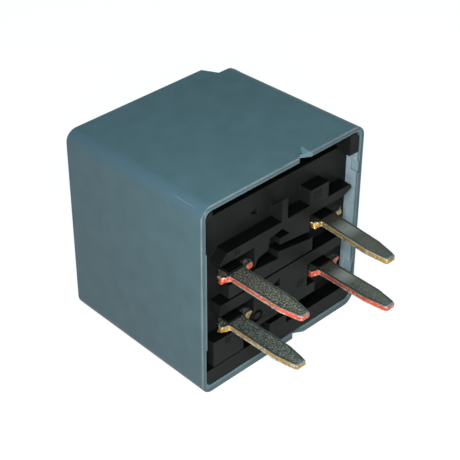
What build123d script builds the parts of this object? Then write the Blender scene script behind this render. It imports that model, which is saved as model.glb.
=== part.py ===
"""A four-terminal automotive relay, lying on its side with the terminals pointing to -Y.

Frame: X to the right seen from the terminals, Y along the terminals into the body, Z up.
The resting side of the cover is at Z = 0. The origin is under the middle of the whole part.
Depth, used throughout, is measured from the cover's open rim into the body, along +Y.
"""
from build123d import *
import math
import os

os.makedirs("parts", exist_ok=True)

# Cover: a moulded cup, open towards the terminals
COVER_W = 29.5
COVER_H = 29.7
COVER_L = 26.5
COVER_R = 1.8
DRAFT = 0.32
WALL = 0.75
END_WALL = 1.2
END_EDGE_R = 0.35
RIM_EDGE_R = 0.12
KEY_X = 9.7
KEY_SLANT = 1.3
KEY_DEPTH = 2.6
KEY_HEIGHT = 5.0
RIM_NOTCH_X = 2.25
RIM_NOTCH_W = 2.4
RIM_NOTCH_D = 0.85
VALLEY_LENGTH = 1.9
VALLEY_D = 0.5
WALL_PAD_T = 0.2

# Blade terminals: tabs 2.8 mm wide and 0.8 mm thick
BLADE_W = 2.8
BLADE_T = 0.8
REACH = 11.8
TAPER = 3.25
TIP_W = 1.13
TIP_FACET = 0.22
BLADE_EDGE = 0.08
PITCH_X = 17.0
ROW_Z = 9.0
PITCH_Z = 8.0
EAR_SPAN = 5.6
EAR_LENGTH = 1.0
EAR_FILLET = 0.45
WELD_LENGTH = 7.5
WELD_WIDTH = 4.4
FOOT_LENGTH = 1.2
COIL_TAB = 2.1

# Base: a plate inside the rim, with blocks that come forward to the rim
FACE_D = 0.12
PLATE_D = 2.1
PLATE_T = 2.4
FIT = 0.08
FIT_TOP = 0.2
FLOOR_WALL = 1.15
BLOCK_SIDE = 3.3
UPPER_TOP = 21.2
SPLIT_Z = 13.55
SPLIT_GAP = 0.3
LOWER_BOTTOM = 6.2
LEDGE_TOP = 3.7
SLOT_FIT = 0.03
POCKET_LEFT = 0.6
GAP_TOP = 2.55
GAP_SIDE = 1.85
TONGUE_D = 0.26
TONGUE_T = 0.4
TONGUE_W = 2.6

# Magnet system, its coil axis parallel to Y
COIL_X = -2.5
COIL_Z = 13.0
YOKE_D = 7.2
YOKE_T = 1.5
YOKE_W = 12.0
YOKE_X = -11.6
CORE_R = 3.0
POLE_R = 4.3
POLE_T = 0.9
END_ROOM = 6.1
BOBBIN_R = 4.0
FLANGE = 13.2
FLANGE_T = 1.0
WINDING_R = 5.9
TAPE_T = 0.12
TAPE_START = 0.7

# Armature, contact leaf and contacts
ARMATURE_T = 1.4
ARMATURE_END = 3.6
AIR = 0.04
OPEN_ANGLE = 2.6
LEAF_T = 0.25
LEAF_W = 8.0
CONTACT_SIDE = 5.55
CONTACT_R = 1.6
CONTACT_T = 0.9
FIXED_T = 1.0
SHANK_R = 0.78
CONTACT_HEAD_R = 1.15
CONTACT_HEAD_T = 0.4
ARM_HALF = 1.8
RIVET_R = 0.7
RIVET_HEAD_R = 1.25
RIVET_HEAD_T = 0.45
RIVET_PITCH = 4.4
LEG_RIVET_D = 14.6
ARM_RIVET = 11.0
LEAF_FOOT_D = 13.0
STOP_W = 3.0
STOP_T = 0.6
STOP_SHIFT = 0.325
STOP_GAP = 0.05
SOCKET_DEPTH = 1.5

# Suppression resistor and fine wires
RES_R = 1.2
RES_LENGTH = 6.3
RES_LEAD = 0.6
RES_Z = 4.6
RES_IN = 1.4
LEAD_ROOM = 1.4
COIL_LEAD = 0.3
WIRE_SIDE = 2.1
WIRE_GAP = 0.1

TOTAL_L = COVER_L + REACH
RIM_Y = REACH - TOTAL_L / 2
HALF_W = COVER_W / 2
BLOCK_HALF = HALF_W - BLOCK_SIDE
CONTACT_X = HALF_W - CONTACT_SIDE
POLE_D = COVER_L - END_ROOM
KEY_FLOOR = COVER_H - KEY_HEIGHT
WIRE_HIGH = COIL_Z + YOKE_W / 2 + COIL_LEAD / 2 + WIRE_GAP
# The stop lies between the coil wire below it and the step's wall above it, a little nearer the step
STOP_Z = (WIRE_HIGH + COIL_LEAD / 2 + KEY_FLOOR - WALL) / 2 + STOP_SHIFT
INNER_W = COVER_W - 2 * WALL
INNER_H = COVER_H - WALL - FLOOR_WALL
BASE_W = INNER_W - 2 * FIT
BASE_H = INNER_H - FIT_TOP
BASE_MID = FLOOR_WALL + BASE_H / 2
BASE_R = COVER_R - WALL + 0.1
PLATE_BACK = PLATE_D + PLATE_T
LEFT = -PITCH_X / 2
RIGHT = PITCH_X / 2
TOP_ROW = ROW_Z + PITCH_Z


def depth(d):
    """Plane parallel to the rim, d inside it: its x is X, its y is Z, and it faces the terminals."""
    return Plane.XZ.offset(-(RIM_Y + d))


def level(z):
    """Horizontal plane at height z with its origin on the rim: its x is X, its y is depth."""
    return Plane(origin=(0, RIM_Y, z), x_dir=(1, 0, 0), z_dir=(0, 0, 1))


def drafted_block(width, low, high, length, radius):
    """Block from the rim inwards, drafted on its top and both sides, flat below, with rounded long edges."""
    side = DRAFT * length / COVER_L
    with BuildPart(mode=Mode.PRIVATE) as block:
        with BuildSketch(level(low)):
            with BuildLine():
                Polyline(
                    (-width / 2, 0),
                    (width / 2, 0),
                    (width / 2 - side, length),
                    (-width / 2 + side, length),
                    close=True,
                )
            make_face()
        extrude(amount=high - low)
        with BuildSketch(Plane.YZ.offset(-width)):
            with BuildLine():
                Polyline(
                    (RIM_Y, high),
                    (RIM_Y + length, high - 2 * side),
                    (RIM_Y + length, high + 1),
                    (RIM_Y, high + 1),
                    close=True,
                )
            make_face()
        extrude(amount=2 * width, mode=Mode.SUBTRACT)
        long_edges = block.edges().filter_by(lambda e: abs(e.tangent_at(0.5).Y) > 0.9)
        fillet(long_edges, radius)
    return block.part


# Cover
outer_block = drafted_block(COVER_W, 0, COVER_H, COVER_L, COVER_R)
inner_block = drafted_block(INNER_W, FLOOR_WALL, COVER_H - WALL, COVER_L - END_WALL, COVER_R - WALL)
with BuildPart() as cover:
    add(outer_block)
    fillet(cover.faces().sort_by(Axis.Y)[-1].edges(), END_EDGE_R)
    add(inner_block, mode=Mode.SUBTRACT)
    fillet(cover.faces().sort_by(Axis.Y)[0].edges(), RIM_EDGE_R)
    # Keying step in the closed end's upper right corner, with its own wall inside
    with BuildSketch(level(KEY_FLOOR - WALL)):
        with BuildLine():
            Polyline(
                (KEY_X - END_WALL, COVER_L - END_WALL / 2),
                (KEY_X + KEY_SLANT - END_WALL, COVER_L - KEY_DEPTH - END_WALL),
                (HALF_W - WALL, COVER_L - KEY_DEPTH - END_WALL),
                (HALF_W - WALL, COVER_L - END_WALL / 2),
                close=True,
            )
        make_face()
    extrude(amount=KEY_HEIGHT - DRAFT)
    with BuildSketch(level(KEY_FLOOR)):
        with BuildLine():
            Polyline(
                (KEY_X, COVER_L + 1),
                (KEY_X, COVER_L),
                (KEY_X + KEY_SLANT, COVER_L - KEY_DEPTH),
                (HALF_W + 1, COVER_L - KEY_DEPTH),
                (HALF_W + 1, COVER_L + 1),
                close=True,
            )
        make_face()
    extrude(amount=KEY_HEIGHT + 1, mode=Mode.SUBTRACT)
    # Matching notches in the rim, above and below
    with BuildSketch(level(-1)) as rim_notch:
        with BuildLine():
            Polyline(
                (RIM_NOTCH_X, -1),
                (RIM_NOTCH_X, RIM_NOTCH_D),
                (RIM_NOTCH_X + RIM_NOTCH_W * 0.4, RIM_NOTCH_D),
                (RIM_NOTCH_X + RIM_NOTCH_W, 0),
                (RIM_NOTCH_X + RIM_NOTCH_W, -1),
                close=True,
            )
        make_face()
    extrude(amount=COVER_H + 2, mode=Mode.SUBTRACT)
    # Small valley in the top face that runs askew into the notch
    with BuildSketch(depth(-0.1)):
        with BuildLine():
            Polyline(
                (RIM_NOTCH_X + 0.2, COVER_H + 0.1),
                (RIM_NOTCH_X + 0.6, COVER_H - VALLEY_D),
                (RIM_NOTCH_X + RIM_NOTCH_W, COVER_H + 0.1),
                close=True,
            )
        make_face()
    with BuildSketch(depth(VALLEY_LENGTH)):
        with BuildLine():
            Polyline(
                (RIM_NOTCH_X + 0.2, COVER_H),
                (RIM_NOTCH_X + RIM_NOTCH_W - 0.25, COVER_H - 0.14),
                (RIM_NOTCH_X + RIM_NOTCH_W, COVER_H),
                close=True,
            )
        make_face()
    loft(ruled=True, mode=Mode.SUBTRACT)
    # Thicker pad inside the left wall, and two shallow recesses inside the right wall
    with BuildSketch(depth(0.1)):
        with Locations((-(INNER_W - WALL_PAD_T) / 2, 15.05)):
            Rectangle(WALL_PAD_T, 15.3)
    extrude(amount=-(PLATE_D - 0.1))
    with BuildSketch(depth(-0.5)):
        with Locations((INNER_W / 2, 23.1), (INNER_W / 2, 6.3)):
            Rectangle(0.6, 1.8)
    extrude(amount=-1.95, mode=Mode.SUBTRACT)
cover.part.label = "cover"

# Base
slots = ((LEFT, TOP_ROW), (RIGHT, TOP_ROW), (LEFT, ROW_Z), (RIGHT, ROW_Z))
block_t = PLATE_D - FACE_D
with BuildPart() as base:
    with BuildSketch(depth(PLATE_D)):
        with Locations((0, BASE_MID)):
            RectangleRounded(BASE_W, BASE_H, BASE_R)
    extrude(amount=-PLATE_T)
    # Opening between the plate's top edge and the cover, left free between the two posts
    with BuildSketch(depth(PLATE_D - 1)):
        with Locations((0, BASE_MID + BASE_H / 2 - GAP_TOP / 2 + 0.5)):
            Rectangle(BASE_W - 2 * GAP_SIDE, GAP_TOP + 1)
    extrude(amount=-(PLATE_T + 2), mode=Mode.SUBTRACT)
    # Ledge along the bottom and two posts in the upper corners, out to the cover's wall
    with BuildSketch(depth(FACE_D)):
        with Locations((0, BASE_MID)):
            RectangleRounded(BASE_W, BASE_H, BASE_R)
        with Locations((0, LEDGE_TOP / 2)):
            Rectangle(COVER_W, LEDGE_TOP, mode=Mode.INTERSECT)
    extrude(amount=-block_t)
    with BuildSketch(depth(FACE_D)):
        with Locations((0, BASE_MID)):
            RectangleRounded(BASE_W, BASE_H, BASE_R)
        with Locations((HALF_W, COVER_H)):
            Rectangle(5.2, 8.2, mode=Mode.INTERSECT)
    extrude(amount=-block_t)
    with BuildSketch(depth(FACE_D)):
        with Locations((0, BASE_MID)):
            RectangleRounded(BASE_W, BASE_H, BASE_R)
        with Locations((-HALF_W, COVER_H)):
            Rectangle(4.0, 4.4, mode=Mode.INTERSECT)
    extrude(amount=-block_t)
    # Upper block with its riser, snap lug and the channel across it
    with BuildSketch(depth(FACE_D)):
        with BuildLine():
            Polyline(
                (-BLOCK_HALF, SPLIT_Z + SPLIT_GAP / 2),
                (-BLOCK_HALF, UPPER_TOP - 1.4),
                (-BLOCK_HALF + 1.2, UPPER_TOP),
                (4.8, UPPER_TOP),
                (4.8, UPPER_TOP + 2.3),
                (8.35, UPPER_TOP + 2.3),
                (8.35, UPPER_TOP - 0.2),
                (BLOCK_HALF + 1.2, UPPER_TOP - 0.2),
                (BLOCK_HALF + 1.5, UPPER_TOP - 0.5),
                (BLOCK_HALF + 1.5, UPPER_TOP - 1.0),
                (BLOCK_HALF, UPPER_TOP - 1.6),
                (BLOCK_HALF, SPLIT_Z + SPLIT_GAP / 2),
                close=True,
            )
        make_face()
        with BuildLine():
            Polyline(
                (-5.6, 16.0),
                (-1.0, 15.6),
                (-1.0, 16.7),
                (5.3, 15.7),
                (5.3, 17.0),
                (-0.8, 17.7),
                (-0.8, 18.7),
                (1.0, 18.7),
                (-0.3, 20.0),
                (-2.6, 19.6),
                (-2.9, 17.9),
                (-4.7, 17.5),
                close=True,
            )
        make_face(mode=Mode.SUBTRACT)
    extrude(amount=-block_t)
    # Lower block, its pad in the left corner and the round-shouldered boss
    with BuildSketch(depth(FACE_D)):
        with Locations((0, (LOWER_BOTTOM + SPLIT_Z - SPLIT_GAP / 2) / 2)):
            Rectangle(2 * BLOCK_HALF, SPLIT_Z - SPLIT_GAP / 2 - LOWER_BOTTOM)
        with Locations((-BLOCK_HALF + 1.5, LEDGE_TOP + 2.2)):
            Rectangle(5.5, 4.1)
    extrude(amount=-block_t)
    with BuildSketch(depth(FACE_D)):
        with Locations((-0.65, LEDGE_TOP + 0.65)):
            Rectangle(3.3, 1.7)
    extrude(amount=-block_t)
    # Hooked rib that climbs the plate above the upper block
    with BuildSketch(Plane.YZ.offset(-0.5)):
        with BuildLine():
            Polyline(
                (RIM_Y + FACE_D, UPPER_TOP - 0.5),
                (RIM_Y + FACE_D, UPPER_TOP + 3.4),
                (RIM_Y + PLATE_D + 0.1, UPPER_TOP + 1.5),
                (RIM_Y + PLATE_D + 0.1, UPPER_TOP - 0.5),
                close=True,
            )
        make_face()
    extrude(amount=1.1)
    # Pockets round the terminal roots, down to the plate, and the recesses under them
    with BuildSketch(depth(FACE_D - 1)):
        with Locations(*[(x - POCKET_LEFT / 2, z + 0.75) for x, z in slots]):
            Rectangle(EAR_SPAN + 0.5 + POCKET_LEFT, 3.7)
        with Locations((LEFT - 2.2, TOP_ROW - 1.9)):
            Rectangle(1.5, 2.9)
        with Locations((RIGHT - 0.4, TOP_ROW - 2.1)):
            Rectangle(5.0, 2.6)
        with Locations((RIGHT + 0.2, ROW_Z - 2.0)):
            Rectangle(4.4, 2.4)
    extrude(amount=-(block_t + 1), mode=Mode.SUBTRACT)
    # Tongues of the base that lie on the terminals inside the pockets
    with BuildSketch(depth(TONGUE_D)):
        with Locations(*[(x, z + (BLADE_T + TONGUE_T) / 2) for x, z in slots]):
            Rectangle(TONGUE_W, TONGUE_T)
    extrude(amount=-(PLATE_D - TONGUE_D))
    # Round pit beside the lower left terminal and two arrow marks
    with BuildSketch(depth(FACE_D)):
        with Locations((LEFT + 3.85, ROW_Z - 1)):
            Circle(0.95)
            Circle(0.55, mode=Mode.SUBTRACT)
        with BuildLine():
            Polyline((-1.9, 11.55), (-0.5, 12.25), (-0.5, 10.85), close=True)
        make_face()
    extrude(amount=-0.5, mode=Mode.SUBTRACT)
    with BuildSketch(depth(PLATE_D)):
        with BuildLine():
            Polyline((-4.25, 23.25), (-3.1, 23.8), (-3.1, 22.7), close=True)
        make_face()
    extrude(amount=-0.5, mode=Mode.SUBTRACT)
    # Through slots that hold the terminals and the stop
    with BuildSketch(depth(PLATE_D)):
        with Locations(*slots):
            Rectangle(BLADE_W + 2 * SLOT_FIT, BLADE_T)
    extrude(amount=-PLATE_T, mode=Mode.SUBTRACT)
    # Seat for the yoke inside, hollow round the core's riveted end
    with BuildSketch(depth(YOKE_D)):
        with Locations((COIL_X, COIL_Z)):
            RectangleRounded(9.0, 9.0, 0.8)
            Circle(CORE_R, mode=Mode.SUBTRACT)
    extrude(amount=YOKE_D - PLATE_BACK)
    # Blind socket inside for the armature stop
    with BuildSketch(depth(PLATE_BACK)):
        with Locations((CONTACT_X, STOP_Z)):
            Rectangle(STOP_W + 2 * SLOT_FIT, STOP_T)
    extrude(amount=SOCKET_DEPTH, mode=Mode.SUBTRACT)
base.part.label = "base"


# One tab, centred on X = 0 and Z = 0: tapered nose, round ears at the root, straight through the plate
with BuildPart() as tab:
    with BuildSketch(level(-BLADE_T / 2)):
        with BuildLine():
            Polyline(
                (-BLADE_W / 2, PLATE_BACK),
                (-BLADE_W / 2, TAPER - REACH),
                (-TIP_W / 2, -REACH),
                (TIP_W / 2, -REACH),
                (BLADE_W / 2, TAPER - REACH),
                (BLADE_W / 2, PLATE_BACK),
                close=True,
            )
        make_face()
        with Locations((0, FACE_D + 0.1 + EAR_LENGTH / 2)):
            SlotOverall(EAR_SPAN, EAR_LENGTH)
    extrude(amount=BLADE_T)
    upright = tab.edges().filter_by(Axis.Z)
    at_side = upright.filter_by(lambda e: abs(abs(e.center().X) - BLADE_W / 2) < 0.01)
    ear_corners = at_side.filter_by(lambda e: abs(e.center().Y - RIM_Y - FACE_D - 0.1) < 0.05)
    fillet(ear_corners, EAR_FILLET)
    nose = tab.edges().filter_by(GeomType.LINE).group_by(Axis.Y)[0].filter_by(Axis.X)
    chamfer(nose, TIP_FACET)
    sides = tab.edges().filter_by(Axis.Y).filter_by(lambda e: e.center().Y < RIM_Y)
    chamfer(sides, BLADE_EDGE)

# Terminals: the tab, and what each one has inside the base
with BuildPart() as terminal_30:
    with Locations((LEFT, 0, TOP_ROW)):
        add(tab.part)
    # Widened foot just inside the plate, and the upright that is welded to the yoke
    with BuildSketch(level(TOP_ROW - BLADE_T / 2)):
        with Locations(((YOKE_X - BLADE_T + LEFT + BLADE_W / 2) / 2, PLATE_BACK + FOOT_LENGTH / 2)):
            Rectangle(LEFT + BLADE_W / 2 - YOKE_X + BLADE_T, FOOT_LENGTH)
    extrude(amount=BLADE_T)
    with BuildSketch(Plane.YZ.offset(YOKE_X - BLADE_T)):
        with Locations((RIM_Y + PLATE_BACK + WELD_LENGTH / 2, TOP_ROW + BLADE_T / 2 - WELD_WIDTH / 2)):
            Rectangle(WELD_LENGTH, WELD_WIDTH)
    extrude(amount=BLADE_T)
    foot_corner = terminal_30.edges().filter_by(Axis.Y).group_by(Axis.X)[0].sort_by(Axis.Z)[-1]
    fillet(foot_corner, 0.6)
terminal_30.part.label = "terminal_30"

with BuildPart() as terminal_85:
    with Locations((LEFT, 0, ROW_Z)):
        add(tab.part)
    with BuildSketch(level(ROW_Z - BLADE_T / 2)):
        with Locations((LEFT, PLATE_BACK + COIL_TAB / 2)):
            Rectangle(BLADE_W, COIL_TAB)
        with Locations((LEFT, PLATE_BACK + COIL_TAB / 2)):
            Circle(0.4, mode=Mode.SUBTRACT)
    extrude(amount=BLADE_T)
terminal_85.part.label = "terminal_85"

with BuildPart() as terminal_86:
    with Locations((RIGHT, 0, TOP_ROW)):
        add(tab.part)
    with BuildSketch(level(TOP_ROW - BLADE_T / 2)):
        with Locations((RIGHT, PLATE_BACK + COIL_TAB / 2)):
            Rectangle(BLADE_W, COIL_TAB)
        with Locations((RIGHT, PLATE_BACK + COIL_TAB / 2)):
            Circle(0.4, mode=Mode.SUBTRACT)
    extrude(amount=BLADE_T)
terminal_86.part.label = "terminal_86"

# Terminal 87 carries the fixed contact on a long arm that stands beside the coil
fixed_d = POLE_D + ARMATURE_T - CONTACT_T - FIXED_T
arm_left = CONTACT_X - ARM_HALF
arm_right = CONTACT_X + ARM_HALF
arm_top = COIL_Z + ARM_HALF + 0.4
with BuildPart() as terminal_87:
    with Locations((RIGHT, 0, ROW_Z)):
        add(tab.part)
    with BuildSketch(level(ROW_Z - BLADE_T / 2)):
        with Locations((RIGHT, PLATE_BACK + 0.5)):
            Rectangle(BLADE_W, 1.0)
        with Locations((CONTACT_X, (PLATE_BACK + 0.6 + fixed_d) / 2)):
            Rectangle(arm_right - arm_left, fixed_d - PLATE_BACK - 0.6)
    extrude(amount=BLADE_T)
    with BuildSketch(depth(fixed_d - BLADE_T)):
        with Locations((CONTACT_X, (ROW_Z + arm_top) / 2)):
            Rectangle(arm_right - arm_left, arm_top - ROW_Z)
        with Locations((CONTACT_X, COIL_Z)):
            Circle(SHANK_R + 0.02, mode=Mode.SUBTRACT)
    extrude(amount=-BLADE_T)
    arm_bend = terminal_87.edges().filter_by(Axis.X).group_by(Axis.Y)[-1].sort_by(Axis.Z)[0]
    fillet(arm_bend, 0.6)
terminal_87.part.label = "terminal_87"

# Magnet yoke: a foot under the coil and a leg beside it
with BuildPart() as yoke:
    with BuildSketch(Plane.XY.offset(COIL_Z - YOKE_W / 2)):
        with BuildLine():
            Polyline(
                (YOKE_X, RIM_Y + YOKE_D),
                (COIL_X + 6.3, RIM_Y + YOKE_D),
                (COIL_X + 6.3, RIM_Y + YOKE_D + YOKE_T),
                (YOKE_X + YOKE_T, RIM_Y + YOKE_D + YOKE_T),
                (YOKE_X + YOKE_T, RIM_Y + POLE_D),
                (YOKE_X, RIM_Y + POLE_D),
                close=True,
            )
        make_face()
    extrude(amount=YOKE_W)
    outer_bend = yoke.edges().filter_by(Axis.Z).group_by(Axis.Y)[0].sort_by(Axis.X)[0]
    fillet(outer_bend, 1.0)
    with BuildSketch(depth(YOKE_D)):
        with Locations((COIL_X, COIL_Z)):
            Circle(2.2)
    extrude(amount=-YOKE_T, mode=Mode.SUBTRACT)
    with BuildSketch(Plane.YZ.offset(YOKE_X)):
        with Locations((RIM_Y + LEG_RIVET_D, COIL_Z)):
            with Locations((0, -RIVET_PITCH / 2), (0, RIVET_PITCH / 2)):
                Circle(RIVET_R)
    extrude(amount=YOKE_T, mode=Mode.SUBTRACT)
yoke.part.label = "yoke"

# Core: riveted into the yoke's foot, with a wider pole face under the armature
coil_d = YOKE_D + YOKE_T
with BuildPart() as core:
    with BuildSketch(depth(POLE_D)):
        with Locations((COIL_X, COIL_Z)):
            Circle(POLE_R)
    extrude(amount=POLE_T)
    with BuildSketch(depth(POLE_D - POLE_T)):
        with Locations((COIL_X, COIL_Z)):
            Circle(CORE_R)
    extrude(amount=POLE_D - POLE_T - coil_d)
    with BuildSketch(depth(coil_d)):
        with Locations((COIL_X, COIL_Z)):
            Circle(2.18)
    extrude(amount=YOKE_T)
core.part.label = "core"

# Bobbin with a wire notch in the lower and the upper edge of the near flange
flange_far = POLE_D - POLE_T - FLANGE_T
with BuildPart() as bobbin:
    with BuildSketch(depth(coil_d)):
        with Locations((COIL_X, COIL_Z)):
            Circle(BOBBIN_R)
    extrude(amount=-(POLE_D - POLE_T - coil_d))
    with BuildSketch(depth(coil_d)):
        with Locations((COIL_X, COIL_Z)):
            RectangleRounded(FLANGE, FLANGE, 0.8)
        with Locations((COIL_X - WIRE_SIDE, COIL_Z - FLANGE / 2), (COIL_X + WIRE_SIDE, COIL_Z + FLANGE / 2)):
            Rectangle(1.0, 1.6, mode=Mode.SUBTRACT)
    extrude(amount=-FLANGE_T)
    with BuildSketch(depth(flange_far)):
        with Locations((COIL_X, COIL_Z)):
            RectangleRounded(FLANGE, FLANGE, 0.8)
    extrude(amount=-FLANGE_T)
    with BuildSketch(depth(coil_d)):
        with Locations((COIL_X, COIL_Z)):
            Circle(CORE_R + 0.03)
    extrude(amount=-(POLE_D - POLE_T - coil_d), mode=Mode.SUBTRACT)
bobbin.part.label = "bobbin"

wound_d = coil_d + FLANGE_T + 0.02
wound_l = flange_far - 0.02 - wound_d
with BuildPart() as coil_winding:
    with BuildSketch(depth(wound_d)):
        with Locations((COIL_X, COIL_Z)):
            Circle(WINDING_R - TAPE_T)
            Circle(BOBBIN_R + 0.02, mode=Mode.SUBTRACT)
    extrude(amount=-wound_l)
coil_winding.part.label = "coil_winding"

with BuildPart() as coil_tape:
    with BuildSketch(depth(wound_d + TAPE_START)):
        with Locations((COIL_X, COIL_Z)):
            Circle(WINDING_R + 0.01)
            Circle(WINDING_R - TAPE_T + 0.01, mode=Mode.SUBTRACT)
    extrude(amount=-(wound_l - TAPE_START - 0.2))
coil_tape.part.label = "coil_tape"

# The armature and all it carries lie on a plane turned open about the end of the yoke's leg
open_rad = math.radians(OPEN_ANGLE)
arm_back = AIR + ARMATURE_T
arm_contact = CONTACT_X - YOKE_X


def swung(z):
    """Horizontal plane at height z from the hinge line: x along the armature, y away from the coil."""
    return Plane(
        origin=(YOKE_X, RIM_Y + POLE_D, z),
        x_dir=(math.cos(open_rad), math.sin(open_rad), 0),
        z_dir=(0, 0, 1),
    )


def swung_face(out):
    """Plane along the armature at a distance out from the hinge line: x along it, y is Z."""
    return Plane(
        origin=(YOKE_X - out * math.sin(open_rad), RIM_Y + POLE_D + out * math.cos(open_rad), COIL_Z),
        x_dir=(math.cos(open_rad), math.sin(open_rad), 0),
        z_dir=(math.sin(open_rad), -math.cos(open_rad), 0),
    )


with BuildPart() as armature:
    with BuildSketch(swung(COIL_Z - YOKE_W / 2)):
        with Locations(((0.1 + ARMATURE_END - YOKE_X) / 2, AIR + ARMATURE_T / 2)):
            Rectangle(ARMATURE_END - YOKE_X - 0.1, ARMATURE_T)
    extrude(amount=YOKE_W)
    hinge_corner = armature.edges().filter_by(Axis.Z).sort_by(Axis.X)[:2].sort_by(Axis.Y)[-1]
    fillet(hinge_corner, 1.1)
    with BuildSketch(swung_face(AIR)):
        with Locations((ARM_RIVET, -RIVET_PITCH / 2), (ARM_RIVET, RIVET_PITCH / 2)):
            Circle(RIVET_R)
    extrude(amount=-ARMATURE_T, mode=Mode.SUBTRACT)
armature.part.label = "armature"

# Contact leaf: riveted to the leg, bent round the hinge, riveted to the armature, with the contact on its end
leaf_corner_d = POLE_D + arm_back / math.cos(open_rad)
leaf_end = arm_contact + 1.9
leaf_tip_x = YOKE_X - arm_back * math.sin(open_rad) + leaf_end * math.cos(open_rad)
leaf_tip_d = POLE_D + arm_back * math.cos(open_rad) + leaf_end * math.sin(open_rad)
with BuildPart() as contact_leaf:
    with BuildSketch(level(COIL_Z - LEAF_W / 2)):
        with BuildLine():
            inner = FilletPolyline(
                (YOKE_X, LEAF_FOOT_D),
                (YOKE_X, leaf_corner_d),
                (leaf_tip_x, leaf_tip_d),
                radius=0.8,
            )
            offset(inner, amount=LEAF_T, side=Side.LEFT)
        make_face()
    extrude(amount=LEAF_W)
    with BuildSketch(swung_face(0)):
        with Locations((leaf_end, LEAF_W / 2), (leaf_end, -LEAF_W / 2)):
            Rectangle(12.0, 3.0)
    extrude(amount=-5.0, mode=Mode.SUBTRACT)
    with BuildSketch(swung_face(0)):
        with Locations((ARM_RIVET, -RIVET_PITCH / 2), (ARM_RIVET, RIVET_PITCH / 2)):
            Circle(RIVET_R)
        with Locations((arm_contact, 0)):
            Circle(SHANK_R + 0.02)
    extrude(amount=-5.0, mode=Mode.SUBTRACT)
    with BuildSketch(Plane.YZ.offset(YOKE_X)):
        with Locations((RIM_Y + LEG_RIVET_D, COIL_Z)):
            with Locations((0, -RIVET_PITCH / 2), (0, RIVET_PITCH / 2)):
                Circle(RIVET_R)
    extrude(amount=-2.0, mode=Mode.SUBTRACT)
contact_leaf.part.label = "contact_leaf"

with BuildPart() as moving_contact:
    with BuildSketch(swung_face(arm_back)):
        with Locations((arm_contact, 0)):
            Circle(CONTACT_R)
    extrude(amount=CONTACT_T)
    crown = moving_contact.faces().sort_by(Axis.Y)[0].edges()
    chamfer(crown, 0.25)
    with BuildSketch(swung_face(arm_back)):
        with Locations((arm_contact, 0)):
            Circle(SHANK_R)
    extrude(amount=-LEAF_T)
    with BuildSketch(swung_face(arm_back + LEAF_T)):
        with Locations((arm_contact, 0)):
            Circle(CONTACT_HEAD_R)
    extrude(amount=-CONTACT_HEAD_T)
moving_contact.part.label = "moving_contact"

with BuildPart() as fixed_contact:
    with BuildSketch(depth(fixed_d)):
        with Locations((CONTACT_X, COIL_Z)):
            Circle(CONTACT_R + 0.1)
    extrude(amount=-FIXED_T)
    crown = fixed_contact.faces().sort_by(Axis.Y)[-1].edges()
    chamfer(crown, 0.25)
    with BuildSketch(depth(fixed_d)):
        with Locations((CONTACT_X, COIL_Z)):
            Circle(SHANK_R)
    extrude(amount=BLADE_T)
    with BuildSketch(depth(fixed_d - BLADE_T)):
        with Locations((CONTACT_X, COIL_Z)):
            Circle(CONTACT_HEAD_R)
    extrude(amount=CONTACT_HEAD_T)
fixed_contact.part.label = "fixed_contact"

# Rivets
with BuildPart() as rivet:
    with BuildSketch(Plane.XY):
        Circle(RIVET_HEAD_R)
    extrude(amount=RIVET_HEAD_T)
    fillet(rivet.faces().sort_by(Axis.Z)[-1].edges(), 0.25)

leg_plane = Plane(origin=(YOKE_X - LEAF_T, RIM_Y + LEG_RIVET_D, COIL_Z), x_dir=(0, 1, 0), z_dir=(-1, 0, 0))
arm_plane = Plane(
    origin=swung_face(arm_back + LEAF_T).origin,
    x_dir=(math.cos(open_rad), math.sin(open_rad), 0),
    z_dir=(-math.sin(open_rad), math.cos(open_rad), 0),
)
with BuildPart(leg_plane) as yoke_rivet_upper:
    with Locations((0, -RIVET_PITCH / 2, 0)):
        add(rivet.part)
        Cylinder(RIVET_R - 0.02, LEAF_T + YOKE_T, align=(Align.CENTER, Align.CENTER, Align.MAX))
yoke_rivet_upper.part.label = "yoke_rivet_upper"

with BuildPart(leg_plane) as yoke_rivet_lower:
    with Locations((0, RIVET_PITCH / 2, 0)):
        add(rivet.part)
        Cylinder(RIVET_R - 0.02, LEAF_T + YOKE_T, align=(Align.CENTER, Align.CENTER, Align.MAX))
yoke_rivet_lower.part.label = "yoke_rivet_lower"

with BuildPart(arm_plane) as armature_rivet_upper:
    with Locations((ARM_RIVET, -RIVET_PITCH / 2, 0)):
        add(rivet.part)
        Cylinder(RIVET_R - 0.02, LEAF_T + ARMATURE_T, align=(Align.CENTER, Align.CENTER, Align.MAX))
armature_rivet_upper.part.label = "armature_rivet_upper"

with BuildPart(arm_plane) as armature_rivet_lower:
    with Locations((ARM_RIVET, RIVET_PITCH / 2, 0)):
        add(rivet.part)
        Cylinder(RIVET_R - 0.02, LEAF_T + ARMATURE_T, align=(Align.CENTER, Align.CENTER, Align.MAX))
armature_rivet_lower.part.label = "armature_rivet_lower"

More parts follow.
